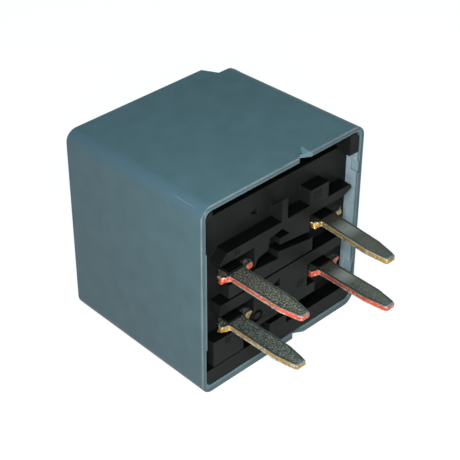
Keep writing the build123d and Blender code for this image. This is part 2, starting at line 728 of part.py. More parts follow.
# Stop: stands in a socket of the base and hooks over the back of the moving contact
contact_back = arm_back + LEAF_T + CONTACT_HEAD_T
stop_reach = arm_contact + CONTACT_HEAD_R
stop_d = POLE_D + contact_back * math.cos(open_rad) + stop_reach * math.sin(open_rad) + STOP_GAP
stop_foot_d = PLATE_BACK - SOCKET_DEPTH
stop_low = COIL_Z - 1.2
with BuildPart() as armature_stop:
    with BuildSketch(level(STOP_Z - STOP_T / 2)):
        with Locations((CONTACT_X, (stop_foot_d + stop_d + STOP_T) / 2)):
            Rectangle(STOP_W, stop_d + STOP_T - stop_foot_d)
    extrude(amount=STOP_T)
    with BuildSketch(depth(stop_d)):
        with Locations((CONTACT_X, (stop_low + STOP_Z + STOP_T / 2) / 2)):
            Rectangle(STOP_W, STOP_Z + STOP_T / 2 - stop_low)
    extrude(amount=-STOP_T)
    stop_bend = armature_stop.edges().filter_by(Axis.X).group_by(Axis.Y)[-1].sort_by(Axis.Z)[-1]
    fillet(stop_bend, 0.5)
armature_stop.part.label = "armature_stop"

# Suppression resistor under the yoke, and its two leads
res_d = PLATE_BACK + RES_IN
res_z = RES_Z
res_x = COIL_X
with BuildPart() as resistor:
    with BuildSketch(Plane.YZ.offset(res_x - RES_LENGTH / 2)):
        with Locations((RIM_Y + res_d, res_z)):
            Circle(RES_R)
    extrude(amount=RES_LENGTH)
    fillet(resistor.edges().filter_by(GeomType.CIRCLE), 0.4)
resistor.part.label = "resistor"

with BuildPart() as resistor_lead_85:
    with BuildLine() as lead_path_85:
        FilletPolyline(
            (res_x - RES_LENGTH / 2, RIM_Y + res_d, res_z),
            (LEFT - 0.9, RIM_Y + res_d, res_z),
            (LEFT - 0.9, RIM_Y + res_d, ROW_Z - BLADE_T / 2),
            radius=0.8,
        )
    with BuildSketch(lead_path_85.line ^ 0):
        Circle(RES_LEAD / 2)
    sweep()
resistor_lead_85.part.label = "resistor_lead_85"

lead_x = arm_right + LEAD_ROOM
with BuildPart() as resistor_lead_86:
    with BuildLine() as lead_path_86:
        FilletPolyline(
            (res_x + RES_LENGTH / 2, RIM_Y + res_d, res_z),
            (lead_x, RIM_Y + res_d, res_z),
            (lead_x, RIM_Y + res_d, TOP_ROW),
            (RIGHT + BLADE_W / 2, RIM_Y + res_d, TOP_ROW),
            radius=0.8,
        )
    with BuildSketch(lead_path_86.line ^ 0):
        Circle(RES_LEAD / 2)
    sweep()
resistor_lead_86.part.label = "resistor_lead_86"

# Coil wires, from the winding through the flange's notches to the two coil terminals
wire_d = wound_d + 0.3
wire_start = math.sqrt((WINDING_R - TAPE_T) ** 2 - (WIRE_SIDE - COIL_LEAD / 2) ** 2)
wire_low = COIL_Z - YOKE_W / 2 - COIL_LEAD / 2 - WIRE_GAP
with BuildPart() as coil_wire_85:
    with BuildLine() as wire_path_85:
        FilletPolyline(
            (COIL_X - WIRE_SIDE, RIM_Y + wire_d, COIL_Z - wire_start),
            (COIL_X - WIRE_SIDE, RIM_Y + wire_d, wire_low),
            (COIL_X - WIRE_SIDE, RIM_Y + res_d, wire_low),
            (LEFT + 0.8, RIM_Y + res_d, wire_low),
            (LEFT + 0.8, RIM_Y + res_d, ROW_Z - BLADE_T / 2),
            radius=0.25,
        )
    with BuildSketch(wire_path_85.line ^ 0):
        Circle(COIL_LEAD / 2)
    sweep()
coil_wire_85.part.label = "coil_wire_85"

with BuildPart() as coil_wire_86:
    with BuildLine() as wire_path_86:
        FilletPolyline(
            (COIL_X + WIRE_SIDE, RIM_Y + wire_d, COIL_Z + wire_start),
            (COIL_X + WIRE_SIDE, RIM_Y + wire_d, WIRE_HIGH),
            (COIL_X + WIRE_SIDE, RIM_Y + res_d, WIRE_HIGH),
            (RIGHT, RIM_Y + res_d, WIRE_HIGH),
            (RIGHT, RIM_Y + res_d, TOP_ROW + BLADE_T / 2),
            radius=0.25,
        )
    with BuildSketch(wire_path_86.line ^ 0):
        Circle(COIL_LEAD / 2)
    sweep()
coil_wire_86.part.label = "coil_wire_86"

pieces = [
    cover,
    base,
    terminal_30,
    terminal_85,
    terminal_86,
    terminal_87,
    yoke,
    core,
    bobbin,
    coil_winding,
    coil_tape,
    armature,
    contact_leaf,
    moving_contact,
    fixed_contact,
    yoke_rivet_upper,
    yoke_rivet_lower,
    armature_rivet_upper,
    armature_rivet_lower,
    armature_stop,
    resistor,
    resistor_lead_85,
    resistor_lead_86,
    coil_wire_85,
    coil_wire_86,
]
for piece in pieces:
    export_step(piece.part, f"parts/{piece.part.label}.step")
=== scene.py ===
"""Looks of a four-terminal automotive relay that lies on its side, its terminals towards -Y.

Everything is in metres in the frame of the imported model: X across the base, Y from the terminals
into the relay, Z up from the side that it lies on. Sizes below are written in millimetres and
turned to metres where a mesh is made.
"""
import math

import bmesh
import bpy
import numpy as np
from mathutils import Matrix, Vector


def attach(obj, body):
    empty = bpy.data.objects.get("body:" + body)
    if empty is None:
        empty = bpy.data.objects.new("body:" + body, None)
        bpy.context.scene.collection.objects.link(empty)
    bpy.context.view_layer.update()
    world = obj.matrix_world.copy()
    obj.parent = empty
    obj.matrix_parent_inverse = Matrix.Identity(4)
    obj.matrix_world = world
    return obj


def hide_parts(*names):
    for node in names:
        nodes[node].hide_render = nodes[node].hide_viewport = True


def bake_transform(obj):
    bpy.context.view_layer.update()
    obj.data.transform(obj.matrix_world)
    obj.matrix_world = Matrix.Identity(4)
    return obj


MM = 0.001

# Rim, half width and height of the cover
RIM_Y = -7.35
COVER_HALF = 14.75
COVER_TOP = 29.7

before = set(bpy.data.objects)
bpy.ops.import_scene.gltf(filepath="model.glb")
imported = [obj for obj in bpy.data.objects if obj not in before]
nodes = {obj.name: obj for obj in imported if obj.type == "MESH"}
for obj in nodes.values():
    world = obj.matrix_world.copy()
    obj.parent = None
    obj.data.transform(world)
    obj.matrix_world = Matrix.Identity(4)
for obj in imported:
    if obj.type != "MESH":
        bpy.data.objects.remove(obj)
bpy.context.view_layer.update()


# Mesh making


# Edges that turn by more than this many degrees stay sharp
SHARP_ANGLE = 40


def grid_quads(rows, cols, wrap=False):
    """Quads of a rows x cols grid of points numbered row by row; wrap joins each row's two ends."""
    row = np.arange(rows - 1)[:, None]
    col = np.arange(cols if wrap else cols - 1)[None, :]
    right = (col + 1) % cols
    a = row * cols + col
    b = row * cols + right
    c = (row + 1) * cols + right
    d = (row + 1) * cols + col
    return np.stack([a, b, c, d], axis=-1).reshape(-1, 4)


def make_piece(name, points_mm, faces, material, body=None):
    """Mesh object at the origin from points in millimetres, smooth but for its sharp edges.

    It rides on the body, where one is given.
    """
    mesh = bpy.data.meshes.new(name)
    mesh.from_pydata((np.asarray(points_mm) * MM).tolist(), [], faces)
    mesh.validate()
    mesh.shade_smooth()
    mesh.set_sharp_from_angle(angle=math.radians(SHARP_ANGLE))
    mesh.materials.append(material)
    piece = bpy.data.objects.new(name, mesh)
    bpy.context.scene.collection.objects.link(piece)
    if body:
        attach(piece, body)
    return piece


def store_values(piece, name, values):
    """Stores one number per point of the mesh, for its material to read."""
    layer = piece.data.attributes.new(name, "FLOAT", "POINT")
    layer.data.foreach_set("value", np.asarray(values, np.float32))


# Shader nodes


def feed(tree, value, socket):
    """Gives an input its value: a number is set on it, another socket is linked to it."""
    if isinstance(value, (int, float)):
        socket.default_value = value
    else:
        tree.links.new(value, socket)


def add_noise(tree, vector, scale, detail=3.0, roughness=0.55):
    """Noise texture on a vector; scale is a number or a socket."""
    noise = tree.nodes.new("ShaderNodeTexNoise")
    noise.inputs["Detail"].default_value = detail
    noise.inputs["Roughness"].default_value = roughness
    tree.links.new(vector, noise.inputs["Vector"])
    feed(tree, scale, noise.inputs["Scale"])
    return noise.outputs["Fac"]


def add_math(tree, operation, *values):
    """Math node; each value is a number or a socket."""
    node = tree.nodes.new("ShaderNodeMath")
    node.operation = operation
    for place, value in enumerate(values):
        feed(tree, value, node.inputs[place])
    return node.outputs[0]


def product(tree, first, *others):
    """Product of sockets and numbers, taken from left to right."""
    result = first
    for value in others:
        result = add_math(tree, "MULTIPLY", result, value)
    return result


def add_range(tree, value, low, high, out_low=0.0, out_high=1.0):
    """Map Range from low..high to out_low..out_high, clamped."""
    node = tree.nodes.new("ShaderNodeMapRange")
    node.clamp = True
    tree.links.new(value, node.inputs["Value"])
    feed(tree, low, node.inputs["From Min"])
    feed(tree, high, node.inputs["From Max"])
    feed(tree, out_low, node.inputs["To Min"])
    feed(tree, out_high, node.inputs["To Max"])
    return node.outputs["Result"]


def add_mix(tree, factor, first, second):
    """Colour mix; factor is a socket, the colours are sockets or RGB triples."""
    node = tree.nodes.new("ShaderNodeMix")
    node.data_type = "RGBA"
    tree.links.new(factor, node.inputs["Factor"])
    for label, value in (("A", first), ("B", second)):
        socket = [s for s in node.inputs if s.name == label and s.type == "RGBA"][0]
        if isinstance(value, tuple):
            socket.default_value = (*value, 1.0)
        else:
            tree.links.new(value, socket)
    return [s for s in node.outputs if s.type == "RGBA"][0]


def add_bump(tree, height, strength, distance):
    """Normal bumped by a height; strength is a socket, distance is in metres."""
    bump = tree.nodes.new("ShaderNodeBump")
    bump.inputs["Distance"].default_value = distance
    tree.links.new(strength, bump.inputs["Strength"])
    tree.links.new(height, bump.inputs["Height"])
    return bump.outputs["Normal"]


def stretched(tree, coords, scale, rotation=(0.0, 0.0, 0.0)):
    """Coordinates turned and scaled by different amounts per axis."""
    node = tree.nodes.new("ShaderNodeMapping")
    node.inputs["Scale"].default_value = scale
    node.inputs["Rotation"].default_value = rotation
    tree.links.new(coords, node.inputs["Vector"])
    return node.outputs["Vector"]


def components(tree, source):
    """X, Y and Z sockets of a texture coordinate: Object, in metres, or Normal."""
    coords = tree.nodes.new("ShaderNodeTexCoord").outputs[source]
    parts = tree.nodes.new("ShaderNodeSeparateXYZ")
    tree.links.new(coords, parts.inputs["Vector"])
    return parts.outputs


def stored(tree, name):
    """Number that the mesh stores per point under a name."""
    node = tree.nodes.new("ShaderNodeAttribute")
    node.attribute_name = name
    return node.outputs["Fac"]


# Shader node groups


def node_group(name, inputs, outputs):
    """Empty shader group with float inputs (name, default) and outputs (name, socket type)."""
    group = bpy.data.node_groups.new(name, "ShaderNodeTree")
    for label, default in inputs:
        socket = group.interface.new_socket(label, in_out="INPUT", socket_type="NodeSocketFloat")
        socket.default_value = default
    for label, kind in outputs:
        group.interface.new_socket(label, in_out="OUTPUT", socket_type=kind)
    source = group.nodes.new("NodeGroupInput")
    sink = group.nodes.new("NodeGroupOutput")
    return group, source.outputs, sink.inputs


def moulding_grain():
    """Fine moulded texture: a mottle and a bumped normal from two noises on Object coordinates."""
    group, given, result = node_group(
        "moulding grain",
        [("Grain Scale", 9000.0), ("Grain Depth", 0.15), ("Mottle Scale", 350.0)],
        [("Mottle", "NodeSocketFloat"), ("Speck", "NodeSocketFloat"), ("Normal", "NodeSocketVector")],
    )
    coords = group.nodes.new("ShaderNodeTexCoord").outputs["Object"]
    fine = add_noise(group, coords, given["Grain Scale"], detail=2.0)
    broad = add_noise(group, coords, given["Mottle Scale"], detail=4.0, roughness=0.6)
    group.links.new(broad, result["Mottle"])
    group.links.new(fine, result["Speck"])
    group.links.new(add_bump(group, fine, given["Grain Depth"], 0.04 * MM), result["Normal"])
    return group


def handling_scuffs():
    """Sparse rubbed patches broken by thin scratches, as a mask from 0 to 1 on Object coordinates."""
    group, given, result = node_group(
        "handling scuffs",
        [("Patch Scale", 220.0), ("Coverage", 0.35)],
        [("Mask", "NodeSocketFloat")],
    )
    coords = group.nodes.new("ShaderNodeTexCoord").outputs["Object"]
    patches = add_noise(group, coords, given["Patch Scale"], detail=5.0, roughness=0.7)
    scratched = stretched(group, coords, (5200.0, 900.0, 2600.0), (0.3, 0.2, 0.6))
    lines = add_noise(group, scratched, 1.0, detail=2.0)
    edge = add_math(group, "SUBTRACT", 0.85, given["Coverage"])
    patch_mask = add_range(group, patches, edge, add_math(group, "ADD", edge, 0.12))
    line_mask = add_range(group, lines, 0.5, 0.66)
    group.links.new(product(group, patch_mask, line_mask), result["Mask"])
    return group


def plated_speckle():
    """Dull plated strip: mixed fine and coarse speckle, rolling streaks along Y, and a bumped normal."""
    group, given, result = node_group(
        "plated speckle",
        [("Speckle Scale", 4600.0), ("Speckle", 0.5), ("Depth", 0.4)],
        [("Tone", "NodeSocketFloat"), ("Normal", "NodeSocketVector")],
    )
    coords = group.nodes.new("ShaderNodeTexCoord").outputs["Object"]
    fine = add_noise(group, coords, given["Speckle Scale"], detail=2.0, roughness=0.6)
    contrast = add_range(group, fine, 0.47, 0.6)
    streaks = add_noise(group, stretched(group, coords, (3200.0, 260.0, 3200.0)), 1.0, detail=3.0)
    both = group.nodes.new("ShaderNodeMix")
    group.links.new(given["Speckle"], both.inputs["Factor"])
    group.links.new(streaks, both.inputs["A"])
    group.links.new(contrast, both.inputs["B"])
    tone = both.outputs["Result"]
    group.links.new(tone, result["Tone"])
    group.links.new(add_bump(group, tone, given["Depth"], 0.05 * MM), result["Normal"])
    return group


GRAIN = moulding_grain()
SCUFFS = handling_scuffs()
SPECKLE = plated_speckle()


# Masks that depend on the place or the lean of a face; most of them paint light and shade into the colour


# Share by which the floor's depth counts, so that the rim's lines are wider there
FLOOR_SHARE = 0.65

# Middle of the notch in the cover's rim
NOTCH_X = 3.4


def side_depth(tree):
    """Distance in metres inwards from the nearer side's outer face."""
    across = add_math(tree, "ABSOLUTE", components(tree, "Object")["X"])
    return add_math(tree, "SUBTRACT", COVER_HALF * MM, across)


def wall_depth(tree):
    """Distance in metres inwards from the cover's outer faces, the least of both sides, top and bottom."""
    height = components(tree, "Object")["Z"]
    top = add_math(tree, "SUBTRACT", COVER_TOP * MM, height)
    floor = product(tree, height, FLOOR_SHARE)
    return add_math(tree, "MINIMUM", side_depth(tree), add_math(tree, "MINIMUM", top, floor))


def behind_rim(tree, start, end):
    """0 to 1 while the distance behind the rim goes from start to end, in millimetres."""
    return add_range(tree, components(tree, "Object")["Y"], (RIM_Y + start) * MM, (RIM_Y + end) * MM)


def rim_line(tree, mottle, behind, inset, least):
    """Line on the rim that the mottle weakens to the least value.

    Behind and inset are two distances in millimetres each: where the line ends and where it is whole.
    """
    near = behind_rim(tree, *behind)
    beside = add_range(tree, wall_depth(tree), inset[0] * MM, inset[1] * MM)
    broken = add_range(tree, mottle, 0.35, 0.55, least, 1.0)
    return product(tree, near, beside, broken)


def outer_rim_wear_and_highlight(tree, mottle):
    """Pale line where the cover's outer faces turn into the rim: a worn edge with a painted highlight on
    its rounding.
    """
    return rim_line(tree, mottle, behind=(0.26, 0.14), inset=(0.2, 0.1), least=0.55)


def inner_rim_highlight(tree, mottle):
    """Painted highlight: a bright line along the rim's inner edge."""
    return rim_line(tree, mottle, behind=(0.3, 0.1), inset=(0.5, 0.62), least=0.75)


def painted_wall_glow(tree, mottle):
    """Painted glow on the thin wall seen from inside near the open end: a paler colour that stands for
    light coming through the wall.
    """
    near = behind_rim(tree, 6.0, 2.0)
    behind = behind_rim(tree, 0.2, 0.4)
    deep = add_range(tree, wall_depth(tree), 0.54 * MM, 0.64 * MM)
    height = components(tree, "Object")["Z"]
    above = add_range(tree, height, 2.2 * MM, 2.6 * MM)
    below = add_range(tree, height, 27.5 * MM, 27.1 * MM)
    recessed = add_range(tree, side_depth(tree), 0.26 * MM, 0.34 * MM, 0.0, 0.75)
    recess = product(tree, above, below, recessed)
    inside = product(tree, behind, add_math(tree, "MAXIMUM", deep, recess))
    broken = add_range(tree, mottle, 0.3, 0.6, 0.8, 1.0)
    return product(tree, near, inside, broken)


def notch_flank(tree, lean):
    """Mask of a flank of the notch in the top face whose normal leans by lean along X, for the notch's
    painted light and shade.
    """
    place = components(tree, "Object")
    leaning = add_range(tree, components(tree, "Normal")["X"], lean * 0.5, lean)
    high = add_range(tree, place["Z"], 28.6 * MM, 28.8 * MM)
    across = add_math(tree, "ABSOLUTE", add_math(tree, "SUBTRACT", place["X"], NOTCH_X * MM))
    near = add_range(tree, across, 2.2 * MM, 2.0 * MM)
    return product(tree, leaning, high, near)


def painted_lit_flank(tree, mottle):
    """Painted light on the flank of the notch that leans towards the left, where the light comes from; the
    mottle leaves it alone.
    """
    return notch_flank(tree, -0.2)


def painted_shaded_flank(tree, mottle):
    """Painted shade on the flank of the notch that leans towards the right, away from the light; the
    mottle leaves it alone.
    """
    return notch_flank(tree, 0.3)


def painted_round_highlight(tree, mottle):
    """Painted highlight: a soft pale band along the rounding between the left wall and the top, where the
    normal leans both ways.
    """
    normal = components(tree, "Normal")
    both = product(tree, normal["X"], normal["Z"], -1.0)
    lean = add_math(tree, "MULTIPLY_ADD", mottle, 0.06, both)
    return add_range(tree, lean, 0.06, 0.5, 0.0, 0.9)


def painted_top_shade(tree, mottle):
    """Painted shade on faces that look up, with an edge that the mottle moves a little."""
    lean = add_math(tree, "MULTIPLY_ADD", mottle, 0.1, components(tree, "Normal")["Z"])
    return add_range(tree, lean, 0.35, 0.85)


def painted_root_reflection(tree):
    """Painted reflection: a soft pale patch on a blade, a bump along Y about 3 mm out from the rim."""
    return product(tree, behind_rim(tree, -5.2, -3.4), behind_rim(tree, -1.0, -2.6))


# Materials


def material_start(name):
    """New material with its Principled shader; returns it, the node tree and the shader's inputs."""
    material = bpy.data.materials.new(name)
    material.use_nodes = True
    tree = material.node_tree
    return material, tree, tree.nodes["Principled BSDF"].inputs


def place_group(tree, group, **values):
    """Puts a node group in a material with its own input values; underscores stand for spaces."""
    node = tree.nodes.new("ShaderNodeGroup")
    node.node_tree = group
    for label, value in values.items():
        node.inputs[label.replace("_", " ")].default_value = value
    return node.outputs


def moulded_plastic(
    name, dark, light, rough, grain_scale, grain_depth, scuff_colour, coverage, specular=0.5, marks=(),
):
    """Moulded plastic: broad mottle between two colours, fine bumped grain, pale scuffs that are rougher.

    Each of marks is a function that makes a mask and the colour that the mask brings.
    """
    material, tree, shader = material_start(name)
    grain = place_group(tree, GRAIN, Grain_Scale=grain_scale, Grain_Depth=grain_depth)
    scuffed = place_group(tree, SCUFFS, Coverage=coverage)["Mask"]
    colour = add_mix(tree, add_range(tree, grain["Mottle"], 0.3, 0.7), dark, light)
    for find_mask, mark_colour in marks:
        colour = add_mix(tree, find_mask(tree, grain["Mottle"]), colour, mark_colour)
    tree.links.new(add_mix(tree, scuffed, colour, scuff_colour), shader["Base Color"])
    roughness = add_range(tree, grain["Speck"], 0.3, 0.7, rough - 0.06, rough + 0.06)
    tree.links.new(add_math(tree, "MULTIPLY_ADD", scuffed, 0.15, roughness), shader["Roughness"])
    tree.links.new(grain["Normal"], shader["Normal"])
    shader["Specular IOR Level"].default_value = specular
    return material


def plated_metal(name, dark, light, rough, scale, speckle, depth, metallic=1.0):
    """Plated or rolled metal: speckle and streaks between two tones."""
    material, tree, shader = material_start(name)
    plate = place_group(tree, SPECKLE, Speckle_Scale=scale, Speckle=speckle, Depth=depth)
    roughness = add_range(tree, plate["Tone"], 0.0, 1.0, rough + 0.1, rough - 0.06)
    tree.links.new(add_mix(tree, plate["Tone"], dark, light), shader["Base Color"])
    tree.links.new(roughness, shader["Roughness"])
    tree.links.new(plate["Normal"], shader["Normal"])
    shader["Metallic"].default_value = metallic
    return material


# Bright and dark tone of the bare metal under the tin
COPPER = ((0.62, 0.1, 0.05), (0.36, 0.05, 0.028))
BRASS = ((0.47, 0.29, 0.045), (0.15, 0.085, 0.018))

# Tones on the blades: a painted reflection on a face, tin smeared and spotted on the cut edge, a pale
# crest there that is a painted highlight, and a dark line and a painted highlight on the rounding
# Painted reflection near a blade's root
ROOT_REFLECTION = (0.38, 0.375, 0.35)
SMEAR_DARK = (0.14, 0.145, 0.12)
SMEAR_LIGHT = (0.47, 0.46, 0.4)
TIN_SPOT = (0.42, 0.4, 0.35)
# Painted highlight on the crest of the cut edge and on torn lumps
CREST_HIGHLIGHT = (0.6, 0.52, 0.42)
# Dark line on the rounding
DARK_EDGE_LINE = (0.022, 0.028, 0.027)
# Painted highlight along the rounding
ROUNDING_HIGHLIGHT = (0.12, 0.135, 0.13)


def cut_edge(tree, bare, bare_from, crest_share):
    """Colour of a cut edge from below: a smear of tin, a bare band with spots of tin, a pale crest that is
    a painted highlight.

    The band starts where the level passes bare_from, and a noise moves its border.
    """
    bright, dark = bare
    coords = tree.nodes.new("ShaderNodeTexCoord").outputs["Object"]
    tear = add_noise(tree, coords, 1500.0, detail=4.0)
    scraped = stretched(tree, coords, (1500.0, 300.0, 7000.0))
    scrape = add_noise(tree, scraped, 1.0, detail=4.0, roughness=0.65)
    shift = add_math(tree, "SUBTRACT", tear, 0.5)
    wave = add_math(tree, "MULTIPLY_ADD", shift, 0.7, stored(tree, "level"))
    smear = add_mix(tree, add_range(tree, tear, 0.35, 0.65), SMEAR_DARK, SMEAR_LIGHT)
    metal = add_mix(tree, add_range(tree, scrape, 0.35, 0.7), dark, bright)
    spots = add_range(tree, add_noise(tree, coords, 2900.0, detail=3.0), 0.6, 0.66)
    spotted = add_mix(tree, spots, metal, TIN_SPOT)
    lower = add_mix(tree, add_range(tree, wave, bare_from, bare_from + 0.08), smear, spotted)
    # Pale crest: a painted highlight along the top of the cut edge and on the torn lumps
    crest = product(tree, add_range(tree, wave, 0.88, 0.96), crest_share)
    return add_mix(tree, crest, lower, CREST_HIGHLIGHT)


def stamped_blade(name, dark, light, bare, speckle, depth, rough, bare_from, crest_share, reflection_share=0.0):
    """Stamped strip: dull tin on the faces, a dark line and a pale painted highlight on the rounding, then
    the cut edge.

    The point values read are cut (1 on the cut edge, 0 on the faces) and level (0 below, 1 above).
    """
    material, tree, shader = material_start(name)
    plate = place_group(tree, SPECKLE, Speckle=speckle, Depth=depth)
    tin = add_mix(tree, plate["Tone"], dark, light)
    # Painted reflection: a pale patch near the blade's root
    if reflection_share:
        tin = add_mix(tree, product(tree, painted_root_reflection(tree), reflection_share), tin, ROOT_REFLECTION)
    cut = stored(tree, "cut")
    # Dark line on the rounding, next to the face
    turned = add_mix(tree, add_range(tree, cut, 0.02, 0.1), tin, DARK_EDGE_LINE)
    # Painted highlight on the rounding
    rounded = add_mix(tree, add_range(tree, cut, 0.22, 0.29), turned, ROUNDING_HIGHLIGHT)
    edge = cut_edge(tree, bare, bare_from, crest_share)
    roughness = add_range(tree, plate["Tone"], 0.0, 1.0, rough + 0.08, rough - 0.08)
    tree.links.new(add_mix(tree, add_range(tree, cut, 0.45, 0.75), rounded, edge), shader["Base Color"])
    tree.links.new(roughness, shader["Roughness"])
    tree.links.new(plate["Normal"], shader["Normal"])
    shader["Metallic"].default_value = 0.75
    return material


cover_plastic = moulded_plastic(
    "satin blue-grey cover plastic",
    (0.0208, 0.0467, 0.057),
    (0.0272, 0.0563, 0.0685),
    rough=0.46,
    grain_scale=16000.0,
    grain_depth=0.22,
    scuff_colour=(0.07, 0.105, 0.12),
    coverage=0.12,
    specular=0.2,
    marks=(
        # Painted highlight on the rounding between the left wall and the top
        (painted_round_highlight, (0.0282, 0.0558, 0.074)),
        # Painted glow that stands for light coming through the thin inner wall
        (painted_wall_glow, (0.13, 0.18, 0.203)),
        # Pale line of a worn edge with a painted highlight on its rounding
        (outer_rim_wear_and_highlight, (0.07, 0.087, 0.095)),
        # Painted highlight along the rim's inner edge
        (inner_rim_highlight, (0.052, 0.082, 0.09)),
        # Painted light on the notch flank that leans towards the light
        (painted_lit_flank, (0.045, 0.083, 0.098)),
        # Painted shade on the notch flank that leans away from the light
        (painted_shaded_flank, (0.018, 0.04, 0.046)),
    ),
)
base_plastic = moulded_plastic(
    "black base plastic",
    (0.0037, 0.0047, 0.0044),
    (0.0053, 0.0066, 0.0061),
    rough=0.4,
    grain_scale=14000.0,
    grain_depth=0.3,
    scuff_colour=(0.016, 0.018, 0.016),
    coverage=0.1,
    specular=0.05,
    # Painted shade on faces of the base that look up
    marks=((painted_top_shade, (0.0012, 0.0014, 0.0014)),),
)
bobbin_plastic = moulded_plastic(
    "natural bobbin plastic",
    (0.62, 0.58, 0.48),
    (0.7, 0.66, 0.56),
    rough=0.5,
    grain_scale=12000.0,
    grain_depth=0.15,
    scuff_colour=(0.75, 0.72, 0.65),
    coverage=0.05,
)
resistor_paint = moulded_plastic(
    "resistor body paint",
    (0.05, 0.17, 0.26),
    (0.07, 0.21, 0.31),
    rough=0.35,
    grain_scale=9000.0,
    grain_depth=0.12,
    scuff_colour=(0.2, 0.3, 0.36),
    coverage=0.05,
)
tape_film = moulded_plastic(
    "coil tape film",
    (0.5, 0.33, 0.08),
    (0.6, 0.42, 0.12),
    rough=0.3,
    grain_scale=9000.0,
    grain_depth=0.1,
    scuff_colour=(0.7, 0.55, 0.25),
    coverage=0.05,
)
magnet_iron = plated_metal(
    "yellow zinc plated iron", (0.3, 0.27, 0.18), (0.52, 0.47, 0.33),
    rough=0.36, scale=5000.0, speckle=0.4, depth=0.3,
)
spring_bronze = plated_metal(
    "rolled spring bronze", (0.5, 0.27, 0.15), (0.68, 0.41, 0.24),
    rough=0.3, scale=5000.0, speckle=0.15, depth=0.15,
)
silver_alloy = plated_metal(
    "silver contact alloy", (0.68, 0.67, 0.64), (0.83, 0.82, 0.79),
    rough=0.24, scale=6000.0, speckle=0.4, depth=0.15,
)
rivet_brass = plated_metal(
    "turned rivet brass", (0.52, 0.36, 0.15), (0.72, 0.53, 0.26),
    rough=0.3, scale=6000.0, speckle=0.3, depth=0.2,
)
stop_steel = plated_metal(
    "zinc plated stop strip", (0.42, 0.42, 0.4), (0.6, 0.6, 0.58),
    rough=0.32, scale=5000.0, speckle=0.3, depth=0.2,
)
tinned_wire = plated_metal(
    "tinned lead wire", (0.5, 0.5, 0.48), (0.68, 0.68, 0.65),
    rough=0.3, scale=6000.0, speckle=0.3, depth=0.15,
)
enamelled_copper = plated_metal(
    "enamelled copper wire", (0.3, 0.07, 0.02), (0.52, 0.16, 0.05),
    rough=0.28, scale=4000.0, speckle=0.3, depth=0.1, metallic=0.85,
)
coarse_on_copper = stamped_blade(
    "tin on copper, coarse", (0.016, 0.0165, 0.013), (0.205, 0.2, 0.158), COPPER,
    speckle=0.95, depth=0.8, rough=0.44, bare_from=0.33, crest_share=0.1,
)
smooth_on_copper = stamped_blade(
    "tin on copper, smooth", (0.036, 0.038, 0.028), (0.112, 0.111, 0.09), COPPER,
    speckle=0.6, depth=0.4, rough=0.34, bare_from=0.24, crest_share=0.2, reflection_share=0.5,
)
coarse_on_brass = stamped_blade(
    "tin on brass, coarse", (0.024, 0.029, 0.026), (0.168, 0.18, 0.158), BRASS,
    speckle=0.9, depth=0.8, rough=0.44, bare_from=0.42, crest_share=0.3,
)
smooth_on_brass = stamped_blade(
    "tin on brass, smooth", (0.029, 0.027, 0.019), (0.076, 0.068, 0.051), BRASS,
    speckle=0.45, depth=0.35, rough=0.34, bare_from=0.36, crest_share=0.3, reflection_share=0.34,
)


# Blades


# Half width and thickness of a blade, its taper's length, and where it is cut off inside the plate
BLADE_HALF = 1.4
BLADE_T = 0.8
TAPER = 3.25
BLADE_CUT = 3.2

# Radius of the rounding between a blade's face and its cut edge
EDGE = 0.1

# Ears at a blade's root: half widths, depths behind the rim, and radii
EAR_LEFT = 2.6
EAR_RIGHT = 3.0
EAR_NEAR = 0.25
EAR_FAR = 1.38
EAR_FILLET = 0.62
EAR_CORNER = 0.36
EAR_BACK = 0.55

# Points across a blade's face
ACROSS = 10


def arc(cx, cy, radius, start, end, steps):
    """Points of a circular arc from angle start to end in degrees."""
    angle = np.radians(np.linspace(start, end, steps))
    return np.stack([cx + radius * np.cos(angle), cy + radius * np.sin(angle)], axis=1)


def run(a, b, pitch):
    """Evenly spaced points from a to b, no further apart than pitch."""
    a = np.asarray(a, float)
    b = np.asarray(b, float)
    steps = max(2, int(np.ceil(np.linalg.norm(b - a) / pitch)) + 1)
    return a + (b - a) * np.linspace(0, 1, steps)[:, None]


def blade_half_outline(reach, ear_half, tip_half):
    """One side of the blade's plan from the tip inwards, as (half width, depth), depth never falling.

    The parts are the tip, its corner, the taper, the straight side, the fillet and the front corner
    of the ear, the ear's back, and the strip behind it in two runs.
    """
    tip_corner = 0.4 * tip_half
    taper_end = TAPER - reach
    parts = [
        run((0.15 * tip_half, -reach), (0.52 * tip_half, -reach), 0.1),
        arc(tip_half - tip_corner, -reach + tip_corner, tip_corner, -80, -18, 6),
        run((tip_half + 0.03, -reach + 1.2 * tip_corner), (BLADE_HALF - 0.05, taper_end - 0.12), 0.2),
        run((BLADE_HALF - 0.01, taper_end + 0.12), (BLADE_HALF, EAR_NEAR - EAR_FILLET), 0.25),
        arc(BLADE_HALF + EAR_FILLET, EAR_NEAR - EAR_FILLET, EAR_FILLET, 180, 94, 8),
        arc(ear_half - EAR_CORNER, EAR_NEAR + EAR_CORNER, EAR_CORNER, -86, -4, 7),
        arc(ear_half - EAR_BACK, EAR_FAR - EAR_BACK, EAR_BACK, 6, 88, 8),
        run((BLADE_HALF + 0.02, EAR_FAR), (BLADE_HALF, EAR_FAR + 0.03), 0.1),
        run((BLADE_HALF, EAR_FAR + 0.2), (BLADE_HALF, BLADE_CUT), 0.4),
    ]
    return np.concatenate(parts)


def outline_normals(outline):
    """Outward normals of one side, from its tangents."""
    tangent = np.gradient(outline, axis=0)
    tangent /= np.maximum(np.linalg.norm(tangent, axis=1, keepdims=True), 1e-9)
    return np.stack([tangent[:, 1], -tangent[:, 0]], axis=1)


